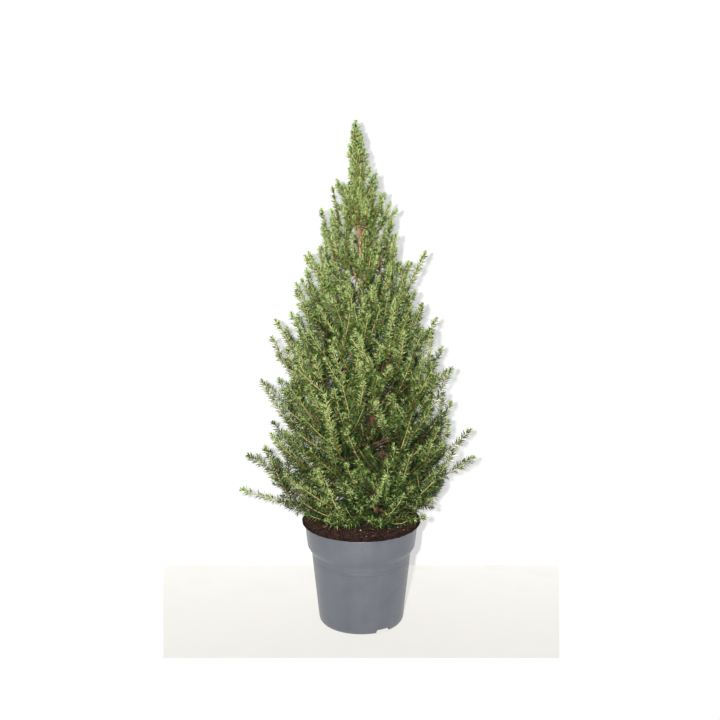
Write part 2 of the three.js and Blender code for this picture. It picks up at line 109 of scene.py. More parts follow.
def areaLight(name, target, colour):
    dropSelection()
    place = studio[name + "Place"]
    bpy.ops.object.light_add(type="AREA", location=place)
    light = bpy.context.object
    light.name = name + "Light"
    light.data.size = studio[name + "Size"]
    light.data.energy = studio[name + "Power"]
    light.data.color = colour
    light.rotation_euler = (light.location - target).to_track_quat("Z", "Y").to_euler()


def makeStudio():
    dropSelection()
    tilt = math.radians(90 - studio["cameraPitch"])
    bpy.ops.object.camera_add(location=studio["cameraPlace"], rotation=(tilt, 0, 0))
    camera = bpy.context.object
    camera.data.lens = studio["lens"]
    camera.data.sensor_width = studio["sensor"]
    bpy.context.scene.camera = camera
    bpy.context.scene.view_settings.view_transform = "Standard"
    bpy.context.scene.view_settings.gamma = studio["gamma"]
    low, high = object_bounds()
    middle = (low + high) / 2
    areaLight("flash", middle, (1, 0.985, 0.95))
    areaLight("ceiling", middle, (1, 0.99, 0.97))
    world = bpy.data.worlds.new("studioSky")
    bpy.context.scene.world = world
    world.use_nodes = True
    sky = world.node_tree.nodes["Background"]
    sky.inputs["Color"].default_value = (1, 1, 1, 1)
    sky.inputs["Strength"].default_value = studio["skyStrength"]


# A socket that takes part in sums: each sum adds its Math node.
class Value:
    def __init__(self, finish, socket):
        self.finish = finish
        self.socket = socket

    def sum(self, operation, first, second, isClamped=False):
        settings = {"operation": operation, "use_clamp": isClamped}
        return self.finish.node("ShaderNodeMath", settings, [first, second])

    def __add__(self, other):
        return self.sum("ADD", self, other)

    def __radd__(self, other):
        return self.sum("ADD", other, self)

    def __sub__(self, other):
        return self.sum("SUBTRACT", self, other)

    def __rsub__(self, other):
        return self.sum("SUBTRACT", other, self)

    def __mul__(self, other):
        return self.sum("MULTIPLY", self, other)

    def __rmul__(self, other):
        return self.sum("MULTIPLY", other, self)

    def __pow__(self, other):
        return self.sum("POWER", self, other)

    def __gt__(self, level):
        return self.sum("GREATER_THAN", self, level)

    def __lt__(self, level):
        return self.sum("LESS_THAN", self, level)

    def clamped(self):
        return self.sum("ADD", self, 0, isClamped=True)


# A material that is built up one node at a time.
class Finish:
    def __init__(self, name, roughness, specular):
        self.material = bpy.data.materials.new(name)
        self.material.use_nodes = True
        self.tree = self.material.node_tree
        self.shader = self.tree.nodes["Principled BSDF"]
        self.hold("Roughness", roughness)
        self.hold("Specular IOR Level", specular)

    def node(self, kind, settings, sockets, output=0):
        made = self.tree.nodes.new(kind)
        for name, value in settings.items():
            if name == "stops":
                stops = made.color_ramp.elements
                while len(stops) < len(value):
                    stops.new(0.5)
                for stop, (place, colour) in zip(stops, value):
                    stop.position = place
                    stop.color = colour
            else:
                setattr(made, name, value)
        pairs = sockets.items() if isinstance(sockets, dict) else enumerate(sockets)
        for name, value in pairs:
            if isinstance(value, Value):
                self.tree.links.new(value.socket, made.inputs[name])
            else:
                made.inputs[name].default_value = value
        return Value(self, made.outputs[output])

    def spot(self, scale=(1, 1, 1)):
        place = self.node("ShaderNodeTexCoord", {}, {}, output="Object")
        return self.node("ShaderNodeMapping", {}, {"Vector": place, "Scale": scale})

    def noise(self, spot, scale, detail=3, roughness=0.5):
        sockets = {"Vector": spot, "Scale": scale, "Detail": detail, "Roughness": roughness}
        return self.node("ShaderNodeTexNoise", {}, sockets)

    def ramp(self, value, stops):
        return self.node("ShaderNodeValToRGB", {"stops": stops}, {"Fac": value})

    def mix(self, factor, first, second):
        sockets = {"Factor": factor, 6: first, 7: second}
        return self.node("ShaderNodeMix", {"data_type": "RGBA"}, sockets, output=2)

    def hold(self, socket, value):
        self.shader.inputs[socket].default_value = value

    def feed(self, socket, value):
        self.tree.links.new(value.socket, self.shader.inputs[socket])

    def bump(self, height, distance, strength):
        sockets = {"Height": height, "Distance": distance, "Strength": strength}
        self.feed("Normal", self.node("ShaderNodeBump", {}, sockets))


# Smooth blue-grey plastic: faint mottling, pale vertical scuffs, and specks of soil washed over the rim.
plastic = {
    "dark": (0.056, 0.061, 0.075, 1), "light": (0.068, 0.073, 0.088, 1), "mottleScale": 26,
    "scuffed": (0.10, 0.103, 0.11, 1), "scuffStretch": (60, 60, 3), "scuffScale": 1.2, "scuffShare": 0.55,
    "soiled": (0.03, 0.018, 0.012, 1), "splashDrop": 0.02, "splashRise": 40, "splashScale": 110,
    "splashAbove": 0.64, "splashShare": 0.6, "roughness": 0.22, "mottleDulls": 0.18, "scuffDulls": 0.16,
    "diffuseRoughness": 0.5, "coat": 0.3, "coatRoughness": 0.22,
    "grainScale": 1400, "grain": 0.25, "ringScale": 85, "ringWaver": 0.5, "rings": 0.9, "mottle": 0.8,
    "relief": 0.0003,
}


def potPlastic():
    finish = Finish("potPlastic", 0.4, 0.5)
    finish.hold("Diffuse Roughness", plastic["diffuseRoughness"])
    finish.hold("Coat Weight", plastic["coat"])
    finish.hold("Coat Roughness", plastic["coatRoughness"])
    spot = finish.spot()
    mottle = finish.noise(spot, plastic["mottleScale"], 5, 0.6)
    streaks = finish.noise(finish.spot(plastic["scuffStretch"]), plastic["scuffScale"], 4, 0.6)
    base = finish.ramp(mottle, [(0.3, plastic["dark"]), (0.7, plastic["light"])])
    dusty = finish.mix((streaks ** 3) * plastic["scuffShare"], base, plastic["scuffed"])
    height = finish.node("ShaderNodeSeparateXYZ", {}, [spot], output=2)
    nearRim = ((height - (potTop - plastic["splashDrop"])) * plastic["splashRise"]).clamped()
    splash = finish.noise(spot, plastic["splashScale"], 4, 0.7) > plastic["splashAbove"]
    finish.feed("Base Color", finish.mix(nearRim * splash * plastic["splashShare"], dusty, plastic["soiled"]))
    dulling = mottle * plastic["mottleDulls"] + streaks * plastic["scuffDulls"]
    finish.feed("Roughness", dulling + plastic["roughness"])
    grain = finish.noise(spot, plastic["grainScale"], 2)
    waves = {"Vector": spot, "Scale": plastic["ringScale"], "Distortion": plastic["ringWaver"]}
    rings = finish.node("ShaderNodeTexWave", {"bands_direction": "Z"}, waves)
    height = grain * plastic["grain"] + rings * plastic["rings"] + mottle * plastic["mottle"]
    finish.bump(height, plastic["relief"], 0.8)
    return finish.material


peatTones = {
    "wet": (0.004, 0.002, 0.002, 1), "damp": (0.013, 0.006, 0.004, 1), "dry": (0.062, 0.024, 0.013, 1),
    "patches": (0.012, 0.005, 0.004, 1), "patchScale": 18, "patchShare": 0.6,
    "clodScale": 130, "crumbScale": 700, "relief": 0.0012,
}


def peat():
    finish = Finish("peat", 0.95, 0.2)
    spot = finish.spot()
    clods = finish.noise(spot, peatTones["clodScale"], 6, 0.7)
    tones = finish.ramp(clods, [(0.36, peatTones["wet"]), (0.5, peatTones["damp"]), (0.7, peatTones["dry"])])
    patches = finish.noise(spot, peatTones["patchScale"])
    finish.feed("Base Color", finish.mix(patches * peatTones["patchShare"], tones, peatTones["patches"]))
    finish.bump(finish.noise(spot, peatTones["crumbScale"], 4, 0.8) + clods, peatTones["relief"], 0.9)
    return finish.material


# Scale and roughness, then the dark and the light colour of the grain.
grains = {
    "peatLumps": (520, 0.85, (0.004, 0.002, 0.002, 1), (0.030, 0.012, 0.007, 1)),
    "barkFibres": (520, 0.85, (0.03, 0.011, 0.006, 1), (0.22, 0.11, 0.05, 1)),
    "perlite": (520, 0.85, (0.35, 0.33, 0.3, 1), (0.6, 0.58, 0.55, 1)),
    "paleTwigs": (420, 0.6, (0.34, 0.22, 0.09, 1), (0.54, 0.42, 0.22, 1)),
    "tanTwigs": (420, 0.6, (0.11, 0.055, 0.02, 1), (0.22, 0.115, 0.043, 1)),
    "brownTwigs": (420, 0.7, (0.045, 0.026, 0.016, 1), (0.11, 0.064, 0.038, 1)),
}


def grained(name):
    scale, roughness, dark, light = grains[name]
    finish = Finish(name, roughness, 0.3)
    grain = finish.noise(finish.spot((1, 1, 0.5)), scale, 4, 0.7)
    finish.feed("Base Color", finish.ramp(grain, [(0.35, dark), (0.66, light)]))
    finish.bump(grain, 0.0005, 0.7)
    return finish.material


# Old wood with painted shade between its scales, and paler wood above a height as painted light.
bark = {
    "dark": (0.13, 0.072, 0.036, 1), "light": (0.25, 0.15, 0.075, 1), "shaded": (0.075, 0.046, 0.03, 1),
    "cracks": (0.03, 0.017, 0.01, 1), "litPale": (0.33, 0.25, 0.135, 1), "paleFrom": 0.42, "litPaleRise": 4,
    "litPaleShare": 0.7, "shadedShare": 0.7, "crackWidth": 0.05, "crackShare": 0.75, "stretch": (1, 1, 0.35),
    "plateScale": 330, "scaleScale": 260, "toneScale": 38, "relief": 0.0009,
}


def oldBark():
    finish = Finish("oldBark", 0.88, 0.25)
    stretched = finish.spot(bark["stretch"])
    edges = {"Vector": stretched, "Scale": bark["plateScale"]}
    plates = finish.node("ShaderNodeTexVoronoi", {"feature": "DISTANCE_TO_EDGE"}, edges)
    scales = finish.noise(stretched, bark["scaleScale"], 5, 0.7)
    tone = finish.noise(finish.spot(), bark["toneScale"], 4, 0.6)
    light = finish.ramp(tone, [(0.35, bark["dark"]), (0.7, bark["light"])])
    height = finish.node("ShaderNodeSeparateXYZ", {}, [finish.spot()], output=2)
    # Painted light: the bark turns paler above a height.
    litPale = ((height - bark["paleFrom"]) * bark["litPaleRise"]).clamped()
    shaded = finish.mix(scales * bark["shadedShare"], light, bark["shaded"])
    shaded = finish.mix(litPale * bark["litPaleShare"], shaded, bark["litPale"])
    cracks = (plates < bark["crackWidth"]) * bark["crackShare"]
    finish.feed("Base Color", finish.mix(cracks, shaded, bark["cracks"]))
    finish.bump(scales + plates * 3, bark["relief"], 0.9)
    return finish.material


def needleGreen(name, colour):
    finish = Finish(name, 0.42, 0.2)
    finish.hold("Base Color", colour)
    return finish.material


# Makes a studio plane clear from behind, so that it hides nothing in views from other sides.
def clearBehind(finish):
    isBehind = finish.node("ShaderNodeNewGeometry", {}, {}, output="Backfacing")
    clear = finish.node("ShaderNodeBsdfTransparent", {}, {})
    paint = Value(finish, finish.shader.outputs[0])
    oneSided = finish.node("ShaderNodeMixShader", {}, [isBehind, paint, clear])
    finish.tree.links.new(oneSided.socket, finish.tree.nodes["Material Output"].inputs["Surface"])
    return finish.material


# Pale paint that glows a little with painted light, so that shadows on it stay light, brighter towards the
# wall.
def floorPaint():
    finish = Finish("floorPaint", 0.85, 0.0)
    finish.hold("Base Color", studio["floorPaint"])
    finish.hold("Emission Strength", 1.0)
    spot = finish.spot()
    depth = finish.node("ShaderNodeSeparateXYZ", {}, [spot], output=1)
    reach = studio["wallPlace"] - studio["floorFront"]
    towardsWall = ((depth - studio["floorFront"]) * (1 / reach)).clamped()
    # Painted light: the glow is dimmer towards the front of the floor.
    paint = finish.mix(towardsWall, studio["floorFrontGlow"], studio["floorBackGlow"])
    stains = finish.ramp(finish.noise(spot, 14, 5, 0.65), [(0.45, (0, 0, 0, 1)), (0.8, (1, 1, 1, 1))])
    finish.feed("Emission Color", finish.mix(stains * studio["stainShare"], paint, studio["stainGlow"]))
    return clearBehind(finish)


def glowing(name, colour, strength):
    finish = Finish(name, 1.0, 0.0)
    finish.hold("Base Color", colour)
    finish.hold("Emission Color", (1, 1, 1, 1))
    finish.hold("Emission Strength", strength)
    return clearBehind(finish)


# Names the active mesh, gives it its finish, hangs it on the root body and hides the nodes that it stands
# for.
def settle(name, material, slot, *nodes):
    piece = bpy.context.object
    piece.name = name
    piece.data.name = name
    piece.data.materials.clear()
    piece.data.materials.append(material)
    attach(piece, "root")
    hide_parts(*nodes)


# Pulls a disc up through a list of radius and height pairs.
def roundFrom(profile, sides):
    dropSelection()
    radius, height = profile[0]
    place = (0, 0, height)
    bpy.ops.mesh.primitive_circle_add(vertices=sides, radius=radius, fill_type="NGON", location=place)
    piece = bpy.context.object
    applyPlace(piece)
    setMode("EDIT")
    bpy.ops.mesh.select_all(action="SELECT")
    for nextRadius, nextHeight in profile[1:]:
        growth = nextRadius / radius
        bpy.ops.mesh.extrude_region_move(TRANSFORM_OT_translate={"value": (0, 0, nextHeight - height)})
        bpy.ops.transform.resize(value=(growth, growth, 1), center_override=(0, 0, nextHeight))
        radius, height = nextRadius, nextHeight
    bpy.ops.mesh.select_all(action="SELECT")
    bpy.ops.mesh.normals_make_consistent(inside=False)
    setMode("OBJECT")
    return piece


def cutWith(piece, cutter):
    modifier = piece.modifiers.new("cut", "BOOLEAN")
    modifier.operation = "DIFFERENCE"
    modifier.solver = "EXACT"
    modifier.object = cutter
    applyAll(piece)
    bpy.data.objects.remove(cutter)


# One mesh from an array of points and an array of triangles.
def meshFrom(name, points, faces):
    mesh = bpy.data.meshes.new(name)
    mesh.vertices.add(len(points))
    mesh.vertices.foreach_set("co", np.ascontiguousarray(points, dtype=np.float32).ravel())
    mesh.loops.add(faces.size)
    mesh.loops.foreach_set("vertex_index", faces.astype(np.int32).ravel())
    mesh.polygons.add(len(faces))
    mesh.polygons.foreach_set("loop_start", np.arange(0, faces.size, 3, dtype=np.int32))
    mesh.update(calc_edges=True)
    piece = bpy.data.objects.new(name, mesh)
    bpy.context.collection.objects.link(piece)
    pick(piece)


def unit(vectors):
    return vectors / np.maximum(np.linalg.norm(vectors, axis=-1, keepdims=True), 1e-9)


# Two unit vectors across each direction.
def sideAxes(directions):
    helper = np.where(np.abs(directions[..., 2:3]) < 0.9, up, np.array([1.0, 0.0, 0.0]))
    first = unit(np.cross(helper, directions))
    return first, np.cross(directions, first)


pot = {
    "rimRadius": 0.096, "bandRadius": 0.0922, "bandHeight": 0.040, "shoulderDrop": 0.011,
    "wallRadius": 0.0855, "footRadius": 0.0730, "chamfer": 0.005, "wall": 0.0018, "edge": 0.0008,
    "padRadius": 0.036, "channelHeight": 0.008, "footRing": 0.009,
    "notchWidth": 0.027, "notchHeight": 0.007, "notchAngles": (-58, 62, 182), "notchCorner": 0.0016,
    "drainRadius": 0.0045, "drainCount": 6, "drainSides": 24, "sides": 128, "smoothAngle": 32,
    "toeInset": 0.6, "heelHeight": 0.7, "wallRings": (0.02, 0.10, 7), "floorEase": 0.0005,
    "lineDepth": 0.0004, "lineHalf": 0.0007, "lineHeights": (0.1105, 0.1155),
    "bandBulge": 0.0006, "bandRings": (0.12, 0.3, 0.5, 0.7, 0.88),
}
bandFoot = potTop - pot["bandHeight"]
shoulderFoot = bandFoot - pot["shoulderDrop"]


def wallAt(height):
    share = (height - pot["chamfer"]) / (shoulderFoot - pot["chamfer"])
    return pot["footRadius"] + (pot["wallRadius"] - pot["footRadius"]) * share


def potUnderside():
    edge = pot["edge"]
    ringInner = pot["footRadius"] - pot["footRing"]
    toe = pot["footRadius"] - pot["chamfer"] * pot["toeInset"]
    return [
        (pot["padRadius"] - edge, 0), (pot["padRadius"], edge / 2),
        (pot["padRadius"] + pot["wall"], pot["channelHeight"]),
        (ringInner, pot["channelHeight"]), (ringInner + edge, edge / 2), (ringInner + edge * 2, 0),
        (toe - edge, 0), (toe, edge / 2),
        (pot["footRadius"] - edge, pot["chamfer"] * pot["heelHeight"]),
        (pot["footRadius"], pot["chamfer"] + edge),
    ]


def potOutside():
    edge = pot["edge"]
    outline = [(wallAt(height), height) for height in np.linspace(*pot["wallRings"]).tolist()]
    for height in pot["lineHeights"]:  # fine moulding lines round the wall
        for step, depth in ((-1, 0), (-0.4, 1), (0.4, 1), (1, 0)):
            place = height + step * pot["lineHalf"]
            outline.append((wallAt(place) - depth * pot["lineDepth"], place))
    outline += [
        (pot["wallRadius"] - edge / 3, shoulderFoot - edge), (pot["wallRadius"] + edge / 2, shoulderFoot),
        (pot["bandRadius"] - edge, bandFoot - edge * 1.5), (pot["bandRadius"], bandFoot),
    ]
    for share in pot["bandRings"]:
        radius = pot["bandRadius"] + (pot["rimRadius"] - pot["bandRadius"]) * share
        bulge = pot["bandBulge"] * math.sin(math.pi * share)
        outline.append((radius + bulge, bandFoot + pot["bandHeight"] * share))
    rim = pot["rimRadius"]
    return outline + [(rim, potTop - edge * 1.5), (rim - edge / 4, potTop - edge / 3), (rim - edge, potTop)]


def potInside():
    edge = pot["edge"]
    floorTop = pot["channelHeight"] + pot["wall"]
    rimInner = pot["rimRadius"] - pot["wall"]
    return [
        (rimInner + edge, potTop), (rimInner, potTop - edge), (pot["bandRadius"] - pot["wall"], bandFoot),
        (pot["wallRadius"] - pot["wall"], shoulderFoot),
        (pot["footRadius"] - pot["wall"] + pot["floorEase"], floorTop),
        (pot["padRadius"], floorTop), (pot["padRadius"] - pot["wall"], pot["wall"]),
    ]


# The cutter is deeper and twice as high as the notch, so that it clears the foot ring.
def cutNotch(shell, degrees):
    turn = math.radians(degrees)
    dropSelection()
    place = (pot["footRadius"] * math.cos(turn), pot["footRadius"] * math.sin(turn), 0)
    bpy.ops.mesh.primitive_cube_add(size=1, location=place, rotation=(0, 0, turn))
    notch = bpy.context.object
    notch.scale = (pot["footRing"] * 3, pot["notchWidth"], pot["notchHeight"] * 2)
    applyPlace(notch)
    corners = notch.modifiers.new("corners", "BEVEL")
    corners.width = pot["notchCorner"]
    corners.segments = 3
    applyAll(notch)
    cutWith(shell, notch)


def cutDrain(shell, turn):
    middle = (pot["padRadius"] + pot["footRadius"] - pot["footRing"]) / 2
    place = (middle * math.cos(turn), middle * math.sin(turn), pot["channelHeight"] + pot["wall"] / 2)
    dropSelection()
    size = {"vertices": pot["drainSides"], "radius": pot["drainRadius"], "depth": pot["wall"] * 3}
    bpy.ops.mesh.primitive_cylinder_add(**size, location=place)
    drain = bpy.context.object
    applyPlace(drain)
    cutWith(shell, drain)


def makePot():
    shell = roundFrom(potUnderside() + potOutside() + potInside(), pot["sides"])
    for degrees in pot["notchAngles"]:
        cutNotch(shell, degrees)
    for i in range(pot["drainCount"]):
        cutDrain(shell, 2 * math.pi * i / pot["drainCount"])
    pick(shell)
    bpy.ops.object.shade_smooth_by_angle(angle=math.radians(pot["smoothAngle"]))
    settle("pot_shell", potPlastic(), "pot", "pot")


soil = {
    "overhang": 0.0055, "edgeThickness": 0.006, "flatRadius": 0.040, "gap": 0.0003, "sides": 160, "rings": 44,
    "lip": ((0.004, 0.0003), (0.001, 0.0012), (0, 0.0026)), "topInset": 0.0008, "pole": 0.002,
    "moundShape": 0.7, "rounding": 0.0045, "roundingWidth": 0.007, "sunk": 0.0012, "looseAbove": 0.001,
    "stillRadius": 0.004, "smoothAngle": 50,
    "clodSize": 0.011, "clodHeight": 0.0030, "grainSize": 0.0035, "grainHeight": 0.0016,
}
soilEdge = pot["rimRadius"] + soil["overhang"]


# Height of the heaped soil at a distance from the pot's axis.
def moundHeight(radius):
    edgeTop = potTop + soil["edgeThickness"]
    share = np.clip((soilEdge - radius) / (soilEdge - soil["flatRadius"]), 0, 1)
    width = soil["roundingWidth"]
    rounding = soil["rounding"] * np.clip((radius - soilEdge + width) / width, 0, 1) ** 2
    return edgeTop + (soilTop - edgeTop) * share ** soil["moundShape"] - rounding


# Marks the vertices above a height, so that only the top of the soil is roughened.
def groupAbove(piece, name, height):
    places = np.empty(len(piece.data.vertices) * 3, dtype=np.float32)
    piece.data.vertices.foreach_get("co", places)
    places = places.reshape(-1, 3)
    isLoose = (places[:, 2] > height) & (np.hypot(places[:, 0], places[:, 1]) > soil["stillRadius"])
    piece.vertex_groups.new(name=name).add(np.nonzero(isLoose)[0].tolist(), 1.0, "ADD")


def roughen(piece, name, kind, size, height, group=""):
    texture = bpy.data.textures.new(name, kind)
    texture.noise_scale = size
    lift = piece.modifiers.new(name, "DISPLACE")
    lift.texture = texture
    lift.texture_coords = "LOCAL"
    lift.strength = height
    lift.vertex_group = group


def makeSoil():
    gap = soil["gap"]
    fill = [(radius - gap, height + gap) for radius, height in reversed(potInside()[1:])]
    heap = [(soilEdge - inset, potTop + rise) for inset, rise in soil["lip"]]
    radii = np.linspace(soilEdge - soil["topInset"], soil["pole"], soil["rings"])
    heap += [(radius, float(moundHeight(radius)) - soil["sunk"]) for radius in radii.tolist()]
    mound = roundFrom(fill + [(fill[-1][0], potTop + gap)] + heap, soil["sides"])
    groupAbove(mound, "top", potTop + soil["looseAbove"])
    roughen(mound, "clods", "CLOUDS", soil["clodSize"], soil["clodHeight"], "top")
    roughen(mound, "grains", "CLOUDS", soil["grainSize"], soil["grainHeight"], "top")
    applyAll(mound)
    bpy.ops.object.shade_smooth_by_angle(angle=math.radians(soil["smoothAngle"]))
    settle("soil_mound", peat(), "soil", "soil")


litter = {
    "seed": 5, "inset": 0.004, "flatInset": 0.009, "flatness": 0.25,
    "unevenness": 0.22, "waves": (5.1, 3.3, 7.7), "phase": 1.3,
    "lumps": 2300, "lumpSize": (0.0012, 0.0034), "lumpRatio": (0.7, 1.2), "lumpRise": -0.0004,
    "fibres": 620, "fibreLength": (0.004, 0.013), "fibreWidth": (0.00025, 0.0008),
    "fibreThickness": (0.0002, 0.0005), "fibreRise": 0.0008,
    "specks": 26, "speckSize": (0.0006, 0.0012), "speckRatio": (0.8, 1.2), "speckRise": 0.001,
}


# The points and triangles of a small uneven lump.
def lumpShape():
    dropSelection()
    bpy.ops.mesh.primitive_ico_sphere_add(subdivisions=1, radius=1)
    ball = bpy.context.object
    points = np.array([vertex.co[:] for vertex in ball.data.vertices])
    faces = np.array([face.vertices[:] for face in ball.data.polygons])
    bpy.data.objects.remove(ball)
    bumps = 1 + litter["unevenness"] * np.sin(points @ np.array(litter["waves"]) + litter["phase"])
    return points * bumps[:, None], faces


# Joined copies of a lump on the soil, each with its own size and turn.
def scatter(rng, name, sizes, rise, isFlat):
    points, faces = lumpShape()
    count = len(sizes)
    radius = (soilEdge - litter["inset"]) * np.sqrt(rng.uniform(0, 1, count))
    if isFlat:
        radius = np.minimum(radius, soilEdge - litter["flatInset"])
    angle = rng.uniform(0, 2 * math.pi, count)
    places = np.stack([radius * np.cos(angle), radius * np.sin(angle), moundHeight(radius) + rise], axis=1)
    along = unit(rng.normal(0, 1, (count, 3)) * (1, 1, litter["flatness"] if isFlat else 1))
    first, second = sideAxes(along)
    shaped = points[None] * sizes[:, None, :]
    turned = sum(shaped[..., k : k + 1] * axis[:, None, :] for k, axis in enumerate((along, first, second)))
    allFaces = faces[None] + (np.arange(count) * len(points))[:, None, None]
    meshFrom(name, (turned + places[:, None, :]).reshape(-1, 3), allFaces.reshape(-1, 3))


def makeSoilLitter():
    rng = np.random.default_rng(litter["seed"])
    count = litter["lumps"]
    sizes = rng.uniform(*litter["lumpSize"], (count, 1)) * rng.uniform(*litter["lumpRatio"], (count, 3))
    scatter(rng, "soil_lumps", sizes, litter["lumpRise"], False)
    settle("soil_lumps", grained("peatLumps"), "soil")
    count = litter["fibres"]
    length = rng.uniform(*litter["fibreLength"], count) / 2
    width = rng.uniform(*litter["fibreWidth"], count)
    sizes = np.stack([length, width, rng.uniform(*litter["fibreThickness"], count)], axis=1)
    scatter(rng, "soil_fibres", sizes, litter["fibreRise"], True)
    settle("soil_fibres", grained("barkFibres"), "soil")
    count = litter["specks"]
    sizes = rng.uniform(*litter["speckSize"], (count, 1)) * rng.uniform(*litter["speckRatio"], (count, 3))
    scatter(rng, "soil_specks", sizes, litter["speckRise"], False)
    settle("soil_specks", grained("perlite"), "soil")


# The tree grows by one rule: a leaning trunk, lines that its boughs follow, and an outline that they reach.
trunk = {
    "footX": 0.023, "bellyX": 0.005, "tipX": -0.009, "leanShape": 0.7, "sway": 0.004, "swayTurn": 6,
    "footRadius": 0.0085, "tipRadius": 0.0011, "taper": 0.9, "flare": 0.0045, "flareHeight": 0.016,
    "rings": 64, "ringShape": 1.4, "sides": 20, "scaleSize": 0.0042, "scaleHeight": 0.0013,
}
crown = {
    "widestHeight": 0.285, "widestRadius": 0.178, "coneTop": 0.830, "fullness": 0.75,
    "skirtHeight": 0.190, "skirtRadius": 0.112, "skirtFullness": 0.8, "centreX": -0.004,
    "lowSlope": 0.08, "highSlope": 1.6, "slopeShape": 0.6, "slopeTop": 0.720, "bend": 0.230,
    "aheadBy": 0.002, "reachHalvings": 18, "rootHalvings": 20, "belowSkirt": 0.008, "aboveTop": 0.045,
}
# Shoots are counted round the crown: outer ones, and inner ones that fill behind them.
# Inset draws the tips inward, as a share of the reach.
tiers = [
    {"height": 0.196, "masses": 6, "outer": 24, "inner": 18, "inset": 0.12},
    {"height": 0.212, "masses": 6, "outer": 42, "inner": 36, "inset": 0.07},
    {"height": 0.237, "masses": 5, "outer": 45, "inner": 45, "inset": 0.01},
    {"height": 0.279, "masses": 5, "outer": 48, "inner": 50, "inset": -0.05},
    {"height": 0.339, "masses": 4, "outer": 54, "inner": 56, "inset": -0.05},
    {"height": 0.411, "masses": 3, "outer": 51, "inner": 48, "inset": -0.03},
    {"height": 0.492, "masses": 3, "outer": 45, "inner": 24, "inset": -0.02},
    {"height": 0.580, "masses": 3, "outer": 36, "inner": 12, "inset": 0},
    {"height": 0.668, "masses": 3, "outer": 27, "inner": 3, "inset": 0},
]
tierTurn = 2.4
strayTips = [
    (-0.203, -0.022, 0.243), (-0.194, 0.012, 0.293), (0.188, -0.020, 0.299), (0.186, 0.024, 0.334),
    (-0.158, 0.020, 0.415), (0.143, 0.015, 0.441), (-0.141, -0.015, 0.534), (-0.108, 0.012, 0.590),
    (0.104, -0.012, 0.647), (-0.086, -0.008, 0.645), (0.040, -0.182, 0.320), (-0.050, 0.176, 0.330),
]


def blend(first, second, share):
    return first + (second - first) * share


def trunkCentre(height):
    height = np.asarray(height, dtype=float)
    t = np.clip((height - trunkFoot) / (trunkTip - trunkFoot), 0, 1)
    belly = trunk["bellyX"] * np.maximum(0, np.sin(math.pi * np.minimum(1, t * 3)))  # in the lowest third
    lean = blend(trunk["footX"], trunk["tipX"], t ** trunk["leanShape"])
    return np.stack([lean + belly, trunk["sway"] * np.sin(trunk["swayTurn"] * t), height], -1)


def trunkRadius(height):
    t = np.clip((height - trunkFoot) / (trunkTip - trunkFoot), 0, 1)
    flare = trunk["flare"] * np.maximum(0, 1 - (height - trunkFoot) / trunk["flareHeight"]) ** 2
    return blend(trunk["footRadius"], trunk["tipRadius"], t ** trunk["taper"]) + flare


def crownRadius(height):
    if height >= crown["coneTop"]:
        return 0.0
    if height >= crown["widestHeight"]:
        left = 1 - (height - crown["widestHeight"]) / (crown["coneTop"] - crown["widestHeight"])
        return crown["widestRadius"] * left ** crown["fullness"]
    t = max(0.0, (height - crown["skirtHeight"]) / (crown["widestHeight"] - crown["skirtHeight"]))
    return blend(crown["skirtRadius"], crown["widestRadius"], t ** crown["skirtFullness"])


def climb(distance, rootHeight):
    t = max(0.0, (rootHeight - tiers[0]["height"]) / (crown["slopeTop"] - tiers[0]["height"]))
    slope = blend(crown["lowSlope"], crown["highSlope"], t ** crown["slopeShape"])
    return slope * distance * (1 + distance / crown["bend"])


# The point that a bough from a root height reaches at a distance from the trunk.
def flowPoint(rootHeight, angle, distance):
    height = rootHeight + climb(distance, rootHeight)
    centre = trunkCentre(min(height, trunkTip))
    return np.array([centre[0] + distance * math.cos(angle), centre[1] + distance * math.sin(angle), height])


def flowDirection(rootHeight, angle, distance):
    ahead = flowPoint(rootHeight, angle, distance + crown["aheadBy"])
    return unit(ahead - flowPoint(rootHeight, angle, distance))


def outsideBy(point):
    return math.hypot(point[0] - crown["centreX"], point[1]) - crownRadius(point[2])


# The distance from the trunk at which a bough's line leaves the crown.
def reachOf(rootHeight, angle):
    near, far = 0.0, 2 * crown["widestRadius"]
    for _ in range(crown["reachHalvings"]):
        middle = (near + far) / 2
        if outsideBy(flowPoint(rootHeight, angle, middle)) < 0:
            near = middle
        else:
            far = middle
    return near


def aroundTrunk(point):
    x, y, _ = point - trunkCentre(point[2])
    return math.hypot(x, y), math.atan2(y, x)


# The height on the trunk from which a bough's line would pass through a point.
def rootHeightOf(point):
    distance, _ = aroundTrunk(point)
    low, high = 0.0, trunkTip
    for _ in range(crown["rootHalvings"]):
        middle = (low + high) / 2
        if middle + climb(distance, middle) < point[2]:
            low = middle
        else:
            high = middle
    return low


limb = {
    "share": 0.62, "rootRadius": 0.0042, "tipRadius": 0.0014, "slimming": 0.45, "sides": 10, "rings": 12,
    "barkAngle": 40,
}


# How far up the crown a tier is, from 0 to 1.
def rankOf(tier):
    return tier / (len(tiers) - 1)


# Every mass, with its middle angle, half its width in radians and the root heights that it grows from.
def allMasses():
    masses = []
    for tier, row in enumerate(tiers):
        height = row["height"]
        below = (tiers[tier - 1]["height"] + height) / 2 if tier else height - crown["belowSkirt"]
        isTop = tier == len(tiers) - 1
        above = height + crown["aboveTop"] if isTop else (height + tiers[tier + 1]["height"]) / 2
        for index in range(row["masses"]):
            middle = tier * tierTurn + 2 * math.pi * index / row["masses"]
            masses.append({
                "tier": tier, "row": row, "height": height, "middle": middle, "half": math.pi / row["masses"],
                "below": below, "above": above, "reach": reachOf(height, middle),
                "slimming": 1 - limb["slimming"] * rankOf(tier),
            })
    return masses


